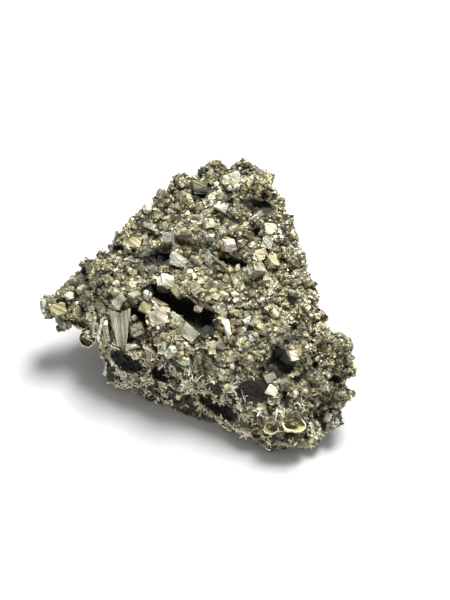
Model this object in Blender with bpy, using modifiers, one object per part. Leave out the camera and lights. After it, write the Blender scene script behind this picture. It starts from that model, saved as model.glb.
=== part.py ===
"""Pyrite specimen: one lump of intergrown pyrite crystals, lying on its broken underside.

The lump is a wedge-shaped mass with a spur on its left and a shoulder at its front right.
Its surface carries pits, one long cleft and crystals with flat faces, all joined in one solid.
Lengths in the tables are millimetres; +X is to the right, +Y to the back and +Z up.
"""

import math
import random

import bmesh
import bpy
from mathutils import Euler, Matrix, Vector, noise
from mathutils.bvhtree import BVHTree
from mathutils.kdtree import KDTree

MM = 0.001

# Corners of the convex blocks that the lump is joined from.
BLOCKS = {
    "main_mass": [
        (1.6, 27.0, 22.0), (4.3, 27.0, 24.0), (9.8, 26.2, 23.6), (12.9, 24.8, 21.5),
        (16.4, 19.6, 21.5), (18.8, 12.6, 20.5), (20.2, 5.3, 19.5), (23.0, -2.0, 17.5), (23.7, -7.1, 16.5),
        (-3.9, 24.5, 21.0), (-10.6, 19.6, 20.5), (-14.1, 13.0, 19.5), (-18.8, 7.8, 18.0),
        (-11.9, -1.5, 17.6), (-5.2, -5.7, 17.2), (1.8, -9.9, 17.0),
        (11.2, -10.0, 17.6), (18.5, -10.6, 16.5),
        (-19.0, -5.2, 10.5), (-16.4, -7.3, 10.8), (-8.9, -10.6, 11.0),
        (0.4, -15.2, 11.0), (7.6, -18.0, 11.0),
        (-17.2, -7.2, 0.8), (-14.4, -9.8, -0.15), (-8.4, -9.4, -0.15),
        (-3.4, -12.2, -0.15), (1.9, -16.4, -0.15),
        (7.2, -20.2, -0.15), (-17.0, 1.0, -0.15), (-13.0, 9.0, -0.15),
        (-4.0, 17.0, -0.15), (4.0, 21.5, -0.15),
        (11.0, 19.5, -0.15), (16.0, 12.0, -0.15), (20.0, 2.0, -0.15), (22.0, -7.0, -0.15),
    ],
    "front_shoulder": [
        (23.4, -6.5, 16.0), (26.0, -10.1, 15.0), (27.8, -11.6, 12.8),
        (28.2, -13.0, 10.8), (27.2, -16.6, 7.8),
        (25.4, -18.8, 5.8), (24.0, -20.2, 3.6), (22.2, -22.0, 1.2),
        (19.6, -23.4, -0.1), (15.9, -23.8, -0.15),
        (13.4, -23.0, -0.15), (10.6, -21.0, -0.15), (7.7, -19.8, -0.15),
        (11.2, -10.0, 17.4), (18.5, -10.6, 16.5),
        (7.6, -18.0, 11.0), (16.6, -19.8, 11.0), (22.5, -18.0, 10.0),
        (24.5, -4.0, 6.0), (22.0, -5.0, -0.15),
        (8.0, -6.0, -0.15),
    ],
    "left_spur": [
        (-25.6, 4.6, 14.6), (-28.0, 3.3, 12.6), (-28.8, 1.6, 11.2), (-27.6, 0.6, 9.4), (-24.8, -0.4, 9.0),
        (-21.6, -2.0, 8.8), (-18.8, 7.8, 18.0), (-13.0, 6.0, 18.5),
        (-13.0, -1.0, 17.0), (-17.0, -4.0, 11.0),
        (-16.0, 1.0, 3.0), (-15.0, 7.0, 4.0),
    ],
    "back_buttress": [
        (-9.0, 17.0, 14.0), (-15.5, 9.0, 13.0), (-17.5, 5.0, 7.0), (-13.0, 12.0, 2.0), (-6.0, 19.5, 5.0),
        (0.0, 23.5, 9.0), (6.0, 24.5, 13.0), (0.0, 10.0, 4.0),
    ],
}

# Rounded masses on the blocks: centre, the three half-widths, and the turn about Z in degrees.
KNOBS = [
    ((-27.3, 1.6, 11.3), (2.8, 2.3, 3.0), 0),
    ((-23.8, 0.2, 10.6), (2.4, 1.9, 2.3), 0),
    ((-24.2, 3.4, 13.4), (2.1, 2.0, 2.1), 0),
    ((-19.6, 6.0, 15.8), (1.7, 1.6, 1.6), 0),
    ((-14.2, 12.0, 18.4), (1.9, 1.7, 1.7), 0),
    ((-10.4, 14.6, 20.2), (2.2, 4.6, 1.7), -35),
    ((-3.9, 24.0, 20.6), (2.3, 2.0, 2.0), 0),
    ((2.8, 25.8, 22.0), (2.8, 2.2, 2.4), 0),
    ((7.6, 25.4, 22.4), (2.5, 2.2, 2.5), 0),
    ((10.4, 22.2, 21.4), (4.0, 3.5, 3.5), 0),
    ((1.5, 11.8, 20.4), (8.6, 3.6, 1.9), -8),
    ((5.6, 7.2, 20.0), (2.4, 1.8, 1.8), 0),
    ((15.8, 12.4, 19.8), (2.2, 4.6, 1.9), 10),
    ((18.8, 8.8, 18.2), (1.6, 2.0, 1.9), 0),
    ((18.6, -0.4, 18.0), (2.2, 4.8, 1.9), 14),
    ((0.6, -1.6, 17.4), (6.8, 3.4, 2.2), -32),
    ((8.6, -12.2, 15.8), (4.6, 2.6, 2.3), -12),
    ((18.2, -11.8, 14.8), (4.2, 2.2, 2.3), 4),
    ((-14.6, -4.6, 13.2), (3.0, 2.0, 2.6), -20),
    ((-4.6, -9.6, 14.6), (3.6, 2.2, 2.4), -25),
    ((25.8, -10.4, 13.0), (2.0, 1.9, 2.2), 0),
    ((26.8, -13.0, 10.8), (1.9, 1.9, 2.2), 0),
    ((26.2, -16.6, 7.2), (1.9, 2.0, 2.2), 0),
    ((24.2, -18.6, 4.4), (2.0, 1.8, 2.2), 0),
    ((16.4, -21.4, 3.2), (5.2, 3.2, 3.5), 0),
    ((20.6, -21.2, 3.0), (2.8, 2.5, 2.8), 0),
    ((6.6, -19.0, 1.6), (3.6, 2.3, 1.9), -25),
    ((-16.0, -7.4, 2.6), (2.2, 2.0, 2.8), 0),
    ((-20.0, -4.4, 9.6), (1.5, 1.5, 1.7), 0),
    ((13.2, 15.5, 9.0), (3.6, 4.4, 5.0), 0),
    ((19.5, 1.0, 8.0), (3.2, 5.0, 4.6), 0),
    ((-10.0, 14.5, 8.0), (4.0, 3.4, 4.2), 0),
]

# Directions that features are seated from: the two coordinates that place them, and the way inward.
SIDES = {
    "top": (("x", "y"), (0, 0, -1)),
    "front": (("x", "z"), (0, 1, 0)),
    "back": (("x", "z"), (0, -1, 0)),
    "right": (("y", "z"), (-1, 0, 0)),
    "left": (("y", "z"), (1, 0, 0)),
}

# Pits: the side each is seated from, its two coordinates there, the three half-widths,
# and turns about X, Y and Z in degrees.
PITS = {
    "cleft_left": ("top", (-7.8, -1.0), (3.2, 1.9, 4.4), (38, 0, -26)),
    "cleft_middle": ("top", (-3.4, -4.2), (4.2, 2.3, 5.4), (38, 0, -36)),
    "cleft_right": ("top", (0.8, -7.4), (3.2, 2.5, 5.4), (38, 0, -34)),
    "ridge_gap": ("top", (-10.8, -4.0), (2.2, 1.2, 2.4), (30, 0, -36)),
    "hole_in_left_edge": ("top", (-15.2, 9.6), (1.2, 0.9, 2.4), (20, 0, -20)),
    "cavity_behind_cleft": ("top", (-7.4, 7.4), (2.4, 1.2, 2.4), (30, 0, 12)),
    "cavity_centre": ("top", (-3.4, 9.6), (2.8, 1.0, 2.2), (34, 0, -12)),
    "gap_right_of_centre": ("top", (6.2, 4.8), (2.9, 1.0, 2.4), (34, 0, -18)),
    "gap_below_knoll": ("top", (11.4, 17.6), (3.0, 1.0, 2.4), (46, 0, -12)),
    "gap_left_of_knoll": ("top", (5.6, 18.4), (0.9, 1.2, 1.8), (20, 0, 0)),
    "gap_top": ("top", (0.0, 20.2), (1.6, 0.9, 2.0), (34, 0, 0)),
    "gap_in_upper_right": ("top", (10.8, 11.8), (1.1, 0.8, 1.8), (20, 0, 20)),
    "dark_hollow_left": ("front", (-13.4, 8.4), (3.4, 3.4, 2.3), (0, 4, -28)),
    "dark_hollow_middle": ("front", (-6.0, 7.4), (3.3, 3.2, 1.6), (0, 8, -20)),
    "dark_hollow_low": ("front", (3.2, 4.6), (4.4, 3.4, 1.5), (0, 14, -22)),
    "dark_hollow_shoulder": ("front", (10.0, 11.0), (3.4, 2.8, 2.0), (14, -14, -6)),
    "hole_shoulder": ("front", (14.9, 14.6), (2.6, 2.6, 2.0), (40, 16, 6)),
    "slit_shoulder": ("front", (15.8, 10.6), (0.8, 1.8, 1.7), (20, 0, 0)),
    "mould_right": ("front", (17.6, 5.6), (2.3, 2.6, 1.4), (0, 0, 8)),
    "mould_left": ("front", (13.0, 5.0), (1.9, 2.2, 1.3), (0, 0, -8)),
    "hole_right": ("top", (17.2, -7.6), (1.3, 1.0, 2.2), (20, 0, 0)),
    "hole_shoulder_small": ("front", (21.2, 13.8), (0.8, 1.8, 0.8), (-20, 0, 0)),
    "hollow_shoulder_edge": ("front", (24.8, 11.0), (1.7, 2.0, 1.2), (-20, -10, 20)),
    "gap_shoulder": ("front", (23.2, 7.2), (2.3, 1.9, 0.9), (0, -18, 15)),
    "gap_spur": ("front", (-22.0, 9.6), (1.8, 1.6, 0.9), (0, 20, 0)),
    "back_left_hollow": ("back", (-9.5, 11.0), (3.6, 2.4, 2.6), (0, 0, 40)),
    "back_low_hollow": ("back", (4.0, 7.0), (3.8, 2.4, 2.0), (0, 0, -10)),
    "back_high_gap": ("back", (1.0, 15.0), (2.6, 1.8, 1.0), (0, 20, 0)),
    "right_low_hollow": ("right", (-6.0, 6.5), (2.0, 3.4, 1.8), (0, 0, 10)),
    "right_high_hollow": ("right", (7.0, 12.0), (2.0, 3.0, 1.4), (15, 0, 8)),
    "left_hollow": ("left", (3.0, 6.5), (2.2, 2.6, 1.8), (0, 0, 20)),
}

# Large crystals: habit, the side it's seated from, its two coordinates on that side, the three half-widths,
# and turns about X, Y and Z in degrees. "top" takes X and Y, and "front" takes X and Z.
CRYSTALS = [
    # Beside and below the cleft.
    ("pyritohedron", "top", (-6.0, 0.9), (1.5, 1.5, 1.5), (20, 35, 10)),
    ("cube", "top", (-9.4, 1.2), (0.9, 0.9, 1.0), (30, -20, 25)),
    ("cut_cube", "top", (-11.6, -1.2), (1.1, 0.9, 0.9), (-25, 15, 40)),
    ("cube", "top", (-14.4, -1.2), (1.0, 1.0, 0.9), (20, 35, 60)),
    ("cut_cube", "top", (-9.4, -3.4), (1.2, 1.1, 1.1), (35, 10, -20)),
    ("cube", "top", (-7.8, -3.6), (2.0, 0.7, 0.8), (10, 15, -35)),
    ("cube", "top", (-7.4, -5.8), (1.6, 1.6, 1.7), (28, -18, 14)),
    ("cut_cube", "top", (-4.4, -6.7), (1.3, 0.9, 1.0), (15, 20, -35)),
    ("cube", "top", (-1.6, -9.2), (1.6, 1.2, 1.1), (35, 25, -28)),
    ("wedge", "front", (-14.4, 13.6), (2.3, 1.0, 2.9), (-30, -6, -14)),
    ("cube", "front", (-11.8, 14.2), (1.2, 1.0, 1.4), (25, 10, 35)),
    ("blade", "front", (-18.6, 12.6), (0.45, 1.0, 2.4), (-15, 12, 20)),
    ("blade", "front", (-17.4, 11.4), (0.5, 1.1, 2.6), (-20, 4, -15)),
    ("blade", "front", (-19.8, 11.0), (0.4, 1.0, 1.9), (-10, 20, 5)),
    ("cube", "front", (-12.0, 12.4), (1.0, 0.6, 0.7), (20, -25, 10)),
    ("wedge", "front", (-9.1, 11.8), (1.8, 1.0, 1.1), (-20, 30, -10)),
    ("pyritohedron", "front", (-4.3, 15.3), (0.9, 0.9, 0.9), (10, 0, 30)),
    ("cube", "front", (-5.0, 13.9), (1.0, 0.7, 0.7), (15, -20, 20)),
    ("pyritohedron", "front", (-2.4, 13.4), (1.1, 1.0, 1.0), (40, 20, 0)),
    # The crest and the shoulder.
    ("shard", "top", (5.6, -9.4), (0.9, 0.9, 2.0), (20, 14, 20)),
    ("cut_cube", "top", (4.3, -8.6), (1.1, 0.9, 0.9), (20, 30, 15)),
    ("cube", "top", (6.5, -6.4), (1.3, 0.9, 0.8), (-20, 25, 35)),
    ("cube", "top", (8.9, -6.9), (1.0, 0.5, 0.5), (15, -25, 35)),
    ("cut_cube", "top", (10.3, -7.8), (1.0, 1.0, 0.9), (30, 20, -20)),
    ("cut_cube", "top", (10.0, -11.2), (1.0, 0.9, 1.1), (20, -30, 10)),
    ("cube", "front", (16.8, 15.6), (0.9, 0.9, 1.2), (20, 18, 30)),
    ("cube", "front", (13.1, 13.4), (1.2, 0.8, 1.0), (-30, -25, 15)),
    ("cut_cube", "front", (13.5, 11.6), (0.9, 0.8, 0.7), (25, 20, -15)),
    ("blade", "front", (21.2, 12.8), (1.1, 0.8, 0.6), (35, 15, 10)),
    ("cube", "front", (23.2, 10.9), (0.9, 0.9, 0.9), (30, 35, 20)),
    ("pyritohedron", "front", (14.7, 7.6), (0.9, 0.9, 0.9), (10, 20, 30)),
    ("blade", "front", (9.2, 7.2), (0.6, 1.0, 2.0), (-10, -50, -20)),
    ("wedge", "front", (11.8, 7.6), (1.2, 0.8, 1.6), (-15, -30, 10)),
    ("wedge", "front", (8.6, 2.6), (1.9, 0.9, 1.0), (-10, -10, -25)),
    ("cut_cube", "front", (26.4, 8.2), (1.2, 1.2, 1.3), (30, 10, 50)),
    ("cube", "top", (27.0, -12.4), (1.0, 1.0, 1.0), (35, 25, 45)),
    ("cut_cube", "top", (25.8, -10.6), (1.2, 1.1, 1.0), (20, 40, 15)),
    ("cut_cube", "front", (24.8, 4.4), (1.0, 1.1, 1.0), (30, 0, 35)),
    # The upper surface.
    ("blade", "top", (5.7, 23.2), (2.0, 1.6, 0.8), (24, 0, 10)),
    ("cube", "top", (-0.2, 21.9), (1.3, 1.2, 1.4), (18, 10, 10)),
    ("cut_cube", "top", (-3.4, 23.2), (1.4, 1.3, 1.2), (20, 30, 20)),
    ("cut_cube", "top", (-6.9, 18.8), (1.5, 1.3, 1.2), (25, -25, 30)),
    ("pyritohedron", "top", (-9.8, 15.9), (0.9, 0.9, 0.9), (0, 20, 10)),
    ("cube", "top", (-9.7, 12.9), (1.3, 0.6, 0.6), (20, 15, -15)),
    ("blade", "top", (-12.6, 10.6), (1.8, 1.0, 0.6), (22, -10, -15)),
    ("cube", "top", (-5.7, 10.4), (1.0, 0.9, 0.9), (25, -20, -15)),
    ("cut_cube", "top", (-7.2, 8.0), (1.0, 1.0, 0.9), (35, 20, 10)),
    ("cut_cube", "top", (-4.0, 5.9), (1.4, 1.0, 0.9), (25, 30, -10)),
    ("cube", "top", (2.0, 6.6), (1.3, 1.0, 0.9), (20, -30, 35)),
    ("cube", "top", (2.9, 4.2), (1.1, 0.9, 0.9), (30, 20, -40)),
    ("pyritohedron", "top", (5.6, 7.4), (1.3, 1.2, 1.1), (30, 10, 20)),
    ("cut_cube", "top", (10.6, 2.6), (1.4, 1.1, 1.0), (20, 35, 30)),
    ("cube", "top", (11.8, 6.0), (1.0, 1.0, 0.9), (35, -15, 20)),
    ("cube", "top", (7.6, 8.6), (1.0, 0.9, 1.1), (20, 20, 50)),
    ("cube", "top", (12.7, 8.4), (0.8, 0.9, 1.2), (30, 10, -10)),
    ("cube", "top", (11.0, 14.7), (1.4, 0.5, 0.6), (15, -10, 42)),
    ("cut_cube", "top", (13.1, 12.6), (1.2, 1.1, 1.0), (30, 25, 15)),
    ("cube", "top", (4.1, 16.6), (1.3, 0.9, 0.9), (25, 15, -25)),
    ("cut_cube", "top", (13.4, 4.4), (1.0, 1.0, 0.9), (15, 40, 35)),
    ("cube", "top", (1.7, 12.9), (1.0, 1.0, 0.9), (35, 20, 25)),
    ("blade", "top", (-16.6, 2.6), (1.9, 1.6, 0.5), (14, -12, 30)),
    # The spur and the foot below it.
    ("pyritohedron", "top", (-24.4, 1.9), (0.9, 0.9, 0.9), (10, 20, 0)),
    ("cut_cube", "front", (-26.6, 12.8), (1.3, 1.0, 1.1), (25, 20, 15)),
    ("octahedron", "front", (-20.4, 9.4), (1.6, 1.3, 1.6), (10, 15, 20)),
]

# Clusters of smaller crystals that cover the mass: how many clusters, how many crystals in each,
# the range of half-widths, and the habits.
CLUSTERS = 46
CLUSTER_SIZE = (2, 4)
CLUSTER_REACH = 1.5
SMALL_HALF_WIDTHS = (0.65, 1.3)
SMALL_HABITS = ["cube", "cube", "cube", "cube", "cube", "bar", "octahedron", "cut_cube"]
SCATTER_SEED = 1
# How far a crystal's middle stands out of the mass, or lies in it, as a share of its half-width.
SEATED = 0.25
SUNK = 0.3
NEAR_CRYSTAL = 1.7

JOIN_VOXEL = 0.8
BODY_TRIANGLES = 4000
ALL_TRIANGLES = 9200

# Roughness of the mass as (size of the lumps, height of the lumps), and its flat facets as (size, slope).
ROUGHNESS = [(11.0, 1.0), (5.5, 0.6)]
FACETS = [(3.4, 0.36), (1.8, 0.3)]
FACET_SHUFFLE = 7.3
SWELL = 0.0

# Habits of half-width 1. A pyritohedron has a cube's corners and the ends of a ridge on each side.
CORNER_CUT = 0.35
RIDGE_OUT = 1.42
RIDGE_HALF_LENGTH = 0.71
PYRITOHEDRON_SIZE = 0.75
OCTAHEDRON_SIZE = 1.35
BAR_SHAPE = (1.4, 0.6, 0.6)
BROKEN_HABITS = {
    "wedge": [(-1, -1, 1), (1, -0.8, 0.8), (0.4, -1, -1), (-1, 1, 1), (1, 1, 0.8), (0.2, 1, -1)],
    "shard": [(-1, -1, -1), (1, -0.6, -1), (0, 1, -1), (-0.5, -0.3, 1.0), (0.0, 0.1, 1.1)],
}

BALL_SUBDIVISIONS = 3
PIT_SUBDIVISIONS = 2
PIT_UNEVENNESS = 1.0
PIT_LUMP_SIZE = 1.7

# Seating starts this far out, and takes the mean direction over this radius.
SEAT_START = 60.0
SEAT_AVERAGE = 1.6
FOOT_HEIGHT = 2.0
FLOOR_SLAB = (90.0, 80.0, 10.0)
SHORTEST_EDGE = 0.01
TOUCHING = 0.005
DRAWN_IN = 0.03

PYRITE_COLOUR = (0.42, 0.38, 0.28, 1.0)
PYRITE_ROUGHNESS = 0.34


def clear_scene():
    for obj in list(bpy.data.objects):
        bpy.data.objects.remove(obj, do_unlink=True)


def collection_named(name):
    made = bpy.data.collections.new(name)
    bpy.context.scene.collection.children.link(made)
    return made


def add_object(name, mesh, collection):
    """Turns a bmesh into an object of this collection."""
    bmesh.ops.recalc_face_normals(mesh, faces=mesh.faces)
    data = bpy.data.meshes.new(name)
    mesh.to_mesh(data)
    mesh.free()
    obj = bpy.data.objects.new(name, data)
    collection.objects.link(obj)
    return obj


def add_hull(mesh, corners):
    """Adds the convex hull of these corners, in metres, to the mesh."""
    made = [mesh.verts.new(corner) for corner in corners]
    hull = bmesh.ops.convex_hull(mesh, input=made)
    inner = {v for v in hull["geom_interior"] + hull["geom_unused"] if isinstance(v, bmesh.types.BMVert)}
    bmesh.ops.delete(mesh, geom=list(inner), context="VERTS")


def add_ball(mesh, centre, half_widths, turns=(0, 0, 0), subdivisions=BALL_SUBDIVISIONS):
    matrix = Matrix.Translation(Vector(centre) * MM)
    matrix = matrix @ Euler([math.radians(angle) for angle in turns]).to_matrix().to_4x4()
    matrix = matrix @ Matrix.Diagonal((*(Vector(half_widths) * MM), 1))
    return bmesh.ops.create_icosphere(mesh, subdivisions=subdivisions, radius=1.0, matrix=matrix)["verts"]


def evaluated_copy(obj, name, collection):
    """A new object that holds obj's mesh with its modifiers applied. obj is removed."""
    graph = bpy.context.evaluated_depsgraph_get()
    data = bpy.data.meshes.new_from_object(obj.evaluated_get(graph))
    data.name = name
    made = bpy.data.objects.new(name, data)
    collection.objects.link(made)
    bpy.data.objects.remove(obj, do_unlink=True)
    return made


def thin_out(obj, triangles):
    """Adds a Decimate that leaves about this many triangles."""
    graph = bpy.context.evaluated_depsgraph_get()
    mesh = obj.evaluated_get(graph).to_mesh()
    mesh.calc_loop_triangles()
    share = triangles / len(mesh.loop_triangles)
    obj.evaluated_get(graph).to_mesh_clear()
    decimate = obj.modifiers.new("thin_out", "DECIMATE")
    decimate.ratio = min(1.0, share)
    decimate.use_collapse_triangulate = True


def facet_height(place, size, slope):
    """Height of a surface of flat tilted facets of this size, in millimetres."""
    middle = noise.voronoi(place / size)[1][0] * size
    tilt = noise.cell_vector(middle * FACET_SHUFFLE) * 2 - Vector((1, 1, 1))
    return slope * (place - middle).dot(tilt)


def bumps_at(place):
    """Height of the rough surface at a place, in millimetres."""
    height = SWELL
    for size, share in ROUGHNESS:
        height += share * noise.noise(place / size)
    for size, slope in FACETS:
        height += facet_height(place, size, slope)
    return height


def rough_mass(collection):
    """The blocks and knobs joined into one closed mesh with a lumpy surface."""
    mesh = bmesh.new()
    for corners in BLOCKS.values():
        add_hull(mesh, [Vector(corner) * MM for corner in corners])
    for centre, half_widths, spin in KNOBS:
        add_ball(mesh, centre, half_widths, (0, 0, spin))
    blocks = add_object("blocks", mesh, collection)
    remesh = blocks.modifiers.new("join", "REMESH")
    remesh.mode = "VOXEL"
    remesh.voxel_size = JOIN_VOXEL * MM
    soften = blocks.modifiers.new("soften", "SMOOTH")
    soften.iterations = 2
    mass = evaluated_copy(blocks, "mass", collection)
    for vertex, normal in zip(mass.data.vertices, [n.vector.copy() for n in mass.data.vertex_normals]):
        vertex.co += normal * bumps_at(vertex.co / MM) * MM
    thin_out(mass, BODY_TRIANGLES)
    return evaluated_copy(mass, "rough_mass", collection)


def add_pits(tree, collection):
    """Balls with uneven surfaces, half sunk in the mass, that are cut out of it. It returns their middles."""
    middles = []
    for name, (side, place, half_widths, turns) in PITS.items():
        middle = seat(tree, side, place)
        mesh = bmesh.new()
        for vertex in add_ball(mesh, middle / MM, half_widths, turns, PIT_SUBDIVISIONS):
            away = (vertex.co - middle).normalized()
            vertex.co += away * MM * PIT_UNEVENNESS * noise.noise(vertex.co / MM / PIT_LUMP_SIZE)
        add_object("pit_" + name, mesh, collection)
        middles.append(middle)
    return middles


def floor_cutter(collection):
    """A slab whose top is the plane that the specimen rests on."""
    sides = Vector(FLOOR_SLAB) * MM
    mesh = bmesh.new()
    bmesh.ops.create_cube(mesh, size=1.0, matrix=Matrix.Diagonal((*sides, 1)))
    bmesh.ops.translate(mesh, verts=mesh.verts, vec=(0, 0, -sides.z / 2))
    add_object("floor", mesh, collection)


def habit_corners(habit):
    """Corners of a crystal of half-width 1."""
    corners = [Vector((x, y, z)) for x in (-1, 1) for y in (-1, 1) for z in (-1, 1)]
    if habit == "pyritohedron":
        for shift in range(3):
            for ridge in (-RIDGE_OUT, RIDGE_OUT):
                for end in (-RIDGE_HALF_LENGTH, RIDGE_HALF_LENGTH):
                    row = [0.0, ridge, end]
                    corners.append(Vector(row[-shift:] + row[:-shift]))
        return [corner * PYRITOHEDRON_SIZE for corner in corners]
    if habit == "cut_cube":
        kept = 1 - CORNER_CUT
        return [
            Vector([side * (kept if axis == cut else 1) for axis, side in enumerate(corner)])
            for corner in corners
            for cut in range(3)
        ]
    if habit == "octahedron":
        tips = [(way, side * OCTAHEDRON_SIZE) for way in range(3) for side in (-1, 1)]
        return [Vector([tip if axis == way else 0.0 for axis in range(3)]) for way, tip in tips]
    if habit in BROKEN_HABITS:
        return [Vector(corner) for corner in BROKEN_HABITS[habit]]
    if habit == "bar":
        return [corner * Vector(BAR_SHAPE) for corner in corners]
    return corners


def seat(tree, side, place):
    """Where the mass is met from this side at this place, in metres."""
    axes, inward = SIDES[side]
    start = Vector(inward) * -SEAT_START
    for axis, value in zip(axes, place):
        setattr(start, axis, value)
    return tree.ray_cast(start * MM, Vector(inward))[0]


def outward_at(tree, point):
    """The mean outward direction of the mass around a point."""
    found = tree.find_nearest_range(point, SEAT_AVERAGE * MM)
    return sum((hit[1] for hit in found), Vector()).normalized()


def add_crystal(name, habit, point, half_widths, turn, collection):
    matrix = Matrix.Translation(point) @ turn.to_4x4() @ Matrix.Diagonal((*(Vector(half_widths) * MM), 1))
    mesh = bmesh.new()
    add_hull(mesh, [matrix @ corner for corner in habit_corners(habit)])
    return add_object("crystal_" + name, mesh, collection)


def add_large_crystals(tree, collection):
    """Seats the crystals of the table. It returns their middles."""
    middles = []
    for number, (habit, side, place, half_widths, turns) in enumerate(CRYSTALS):
        point = seat(tree, side, place)
        point = point + outward_at(tree, point) * SEATED * min(half_widths) * MM
        turn = Euler([math.radians(angle) for angle in turns]).to_matrix()
        add_crystal(f"large_{number}", habit, point, half_widths, turn, collection)
        middles.append(point)
    return middles


def add_small_crystals(mass, tree, taken, collection):
    """Spreads clusters of crystals over the mass, clear of the places that are taken."""
    chance = random.Random(SCATTER_SEED)
    faces = [face for face in mass.data.polygons if face.center.z > FOOT_HEIGHT * MM]
    areas = [face.area for face in faces]
    for cluster in range(CLUSTERS):
        middle = chance.choices(faces, areas)[0].center
        for number in range(chance.randint(*CLUSTER_SIZE)):
            size = chance.uniform(*SMALL_HALF_WIDTHS)
            turn = Euler([chance.uniform(0, math.tau) for _ in range(3)]).to_matrix()
            offset = Vector([chance.uniform(-CLUSTER_REACH, CLUSTER_REACH) for _ in range(3)]) * MM
            point = tree.find_nearest(middle + offset)[0]
            if any((point - other).length < NEAR_CRYSTAL * MM for other in taken):
                continue
            point = point - outward_at(tree, point) * SUNK * size * MM
            habit = chance.choice(SMALL_HABITS)
            add_crystal(f"small_{cluster}_{number}", habit, point, (size, size, size), turn, collection)


def largest_piece(mesh):
    """The points of the largest connected piece of the mesh."""
    unseen = set(mesh.verts)
    largest = set()
    while unseen:
        front = [unseen.pop()]
        piece = set(front)
        while front:
            vertex = front.pop()
            fresh = {edge.other_vert(vertex) for edge in vertex.link_edges} & unseen
            unseen -= fresh
            piece |= fresh
            front.extend(fresh)
        if len(piece) > len(largest):
            largest = piece
    return largest


def draw_in_touching_points(mesh):
    """Moves points that share a place a little inwards, so that the surface nowhere touches itself."""
    tree = KDTree(len(mesh.verts))
    for number, vertex in enumerate(mesh.verts):
        tree.insert(vertex.co, number)
    tree.balance()
    mesh.normal_update()
    touching = [vertex for vertex in mesh.verts if len(tree.find_range(vertex.co, TOUCHING * MM)) > 1]
    for vertex in touching:
        vertex.co -= vertex.normal * DRAWN_IN * MM


def clean_up(obj):
    """Deletes loose chips, closed bubbles and tiny faces that the joining leaves, and parts what touches."""
    mesh = bmesh.new()
    mesh.from_mesh(obj.data)
    kept = largest_piece(mesh)
    bmesh.ops.delete(mesh, geom=[vertex for vertex in mesh.verts if vertex not in kept], context="VERTS")
    bmesh.ops.dissolve_degenerate(mesh, dist=SHORTEST_EDGE * MM, edges=mesh.edges)
    draw_in_touching_points(mesh)
    bmesh.ops.triangulate(mesh, faces=mesh.faces)
    mesh.to_mesh(obj.data)
    mesh.free()


def centre_over_origin(obj):
    """Moves the mesh so that the middle of its bounding box in plan is the origin."""
    corners = [Vector(corner) for corner in obj.bound_box]
    middle = sum(corners, Vector()) / len(corners)
    obj.data.transform(Matrix.Translation((-middle.x, -middle.y, 0)))


def pyrite():
    """Tarnished brass-grey metal."""
    material = bpy.data.materials.new("pyrite")
    material.use_nodes = True
    shader = material.node_tree.nodes["Principled BSDF"]
    shader.inputs["Base Color"].default_value = PYRITE_COLOUR
    shader.inputs["Metallic"].default_value = 1.0
    shader.inputs["Roughness"].default_value = PYRITE_ROUGHNESS
    return material


def combine(obj, operation, collection):
    boolean = obj.modifiers.new(operation.lower(), "BOOLEAN")
    boolean.operation = operation
    boolean.operand_type = "COLLECTION"
    boolean.collection = collection
    boolean.solver = "EXACT"


def main():
    clear_scene()
    parts = collection_named("pyrite_specimen")
    pits = collection_named("pits")
    crystals = collection_named("crystals")
    base = collection_named("base")
    mass = rough_mass(parts)
    hollows = add_pits(BVHTree.FromObject(mass, bpy.context.evaluated_depsgraph_get()), pits)
    combine(mass, "DIFFERENCE", pits)
    cluster = evaluated_copy(mass, "pitted_mass", parts)
    tree = BVHTree.FromObject(cluster, bpy.context.evaluated_depsgraph_get())
    taken = hollows + add_large_crystals(tree, crystals)
    add_small_crystals(cluster, tree, taken, crystals)
    floor_cutter(base)
    for helper in (*pits.objects, *crystals.objects, *base.objects):
        helper.hide_render = True
        helper.display_type = "WIRE"
    combine(cluster, "UNION", crystals)
    thin_out(cluster, ALL_TRIANGLES)
    combine(cluster, "DIFFERENCE", base)
    cluster = evaluated_copy(cluster, "pyrite_cluster", parts)
    clean_up(cluster)
    centre_over_origin(cluster)
    cluster.data.materials.clear()
    cluster.data.materials.append(pyrite())


main()
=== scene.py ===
"""Looks of a pyrite specimen: fine crystals on a dark matrix, and hollows with painted shade.

Lengths in the tables are millimetres in the row frame: +X to the right, +Y to the back and +Z up.
"""

import math

import bmesh
import bpy
import numpy as np
from mathutils import Euler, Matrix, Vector, noise


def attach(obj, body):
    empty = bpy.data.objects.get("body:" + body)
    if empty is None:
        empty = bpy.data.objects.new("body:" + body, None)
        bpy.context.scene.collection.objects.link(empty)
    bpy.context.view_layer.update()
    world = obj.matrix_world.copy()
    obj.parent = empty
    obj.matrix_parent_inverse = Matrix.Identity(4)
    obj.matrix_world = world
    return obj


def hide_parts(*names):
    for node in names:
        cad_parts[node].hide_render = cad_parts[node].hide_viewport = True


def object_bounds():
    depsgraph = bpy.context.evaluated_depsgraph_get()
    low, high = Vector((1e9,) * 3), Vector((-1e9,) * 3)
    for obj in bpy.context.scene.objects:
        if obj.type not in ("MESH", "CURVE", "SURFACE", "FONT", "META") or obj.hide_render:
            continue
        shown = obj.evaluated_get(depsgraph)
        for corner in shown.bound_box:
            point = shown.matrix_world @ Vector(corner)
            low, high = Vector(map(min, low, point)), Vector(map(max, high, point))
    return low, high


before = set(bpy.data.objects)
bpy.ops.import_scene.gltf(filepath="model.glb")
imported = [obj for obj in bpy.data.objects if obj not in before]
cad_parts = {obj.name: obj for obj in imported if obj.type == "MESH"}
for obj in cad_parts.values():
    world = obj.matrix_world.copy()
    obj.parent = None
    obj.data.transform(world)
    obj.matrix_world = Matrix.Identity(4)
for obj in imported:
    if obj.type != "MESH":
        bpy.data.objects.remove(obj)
CAD_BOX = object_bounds()

MM = 0.001
NODE = "pyrite_cluster"
SEED = 5
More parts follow.
